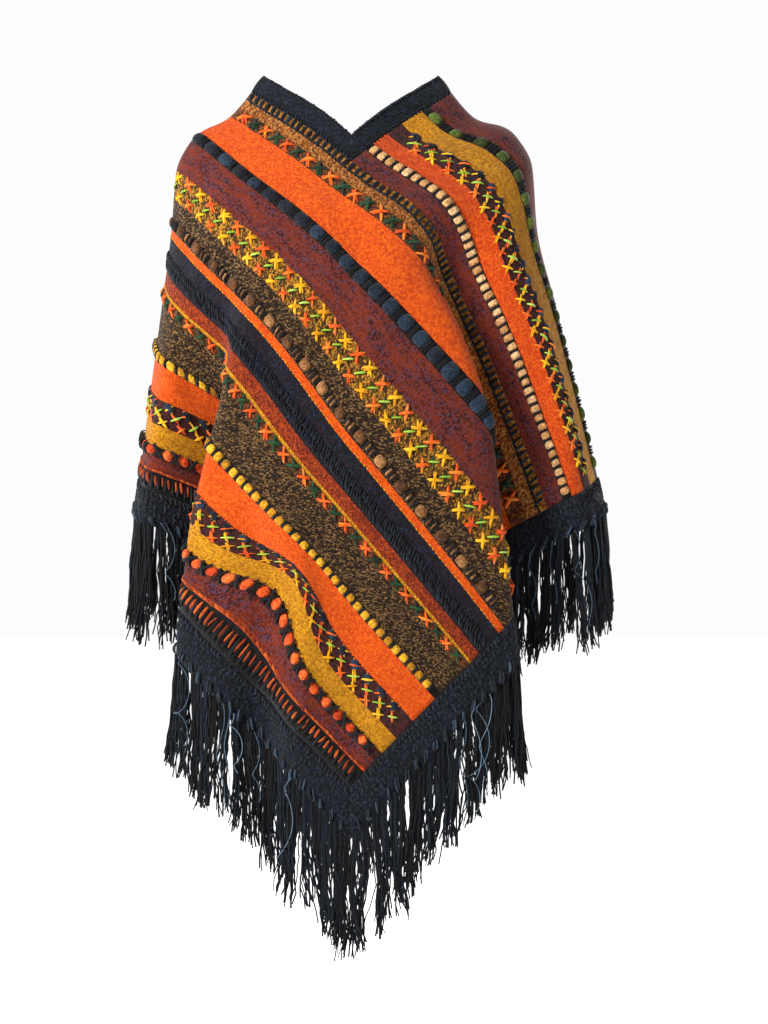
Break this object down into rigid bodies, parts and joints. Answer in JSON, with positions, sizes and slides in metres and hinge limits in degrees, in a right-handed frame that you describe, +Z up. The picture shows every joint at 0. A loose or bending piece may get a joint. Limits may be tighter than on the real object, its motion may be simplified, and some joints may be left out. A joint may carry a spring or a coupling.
{
  "type": "andean poncho",
  "caption": "Worn, hollow wool poncho of two square striped panels hung point down, with V neckband, dark hem borders and long strand fringe.",
  "frame": {"origin": "middle of the neck opening, level with the two peaks of the neckband, where the wearer's shoulders hold the poncho", "axes": "+X towards the wearer's left, -Y towards the front, +Z up"},
  "size_m": [0.5614, 0.408, 1.0017],
  "materials": {
    "striped_wool": "knitted and woven wool in orange, maroon, mustard, brown and navy stripes with raised yarn cords and cross stitches",
    "navy_wool": "dense navy wool knit, heathered with grey blue",
    "navy_strands": "loose knotted navy and black wool strands"
  },
  "bodies": {
    "root": {"front_panel": "striped_wool", "back_panel": "striped_wool", "neckband_left": "navy_wool", "neckband_right": "navy_wool", "border_left": "navy_wool", "border_right": "navy_wool", "fringe_front_left": "navy_strands", "fringe_front_right": "navy_strands", "fringe_back_left": "navy_strands", "fringe_back_right": "navy_strands"}
  },
  "joints": []
}
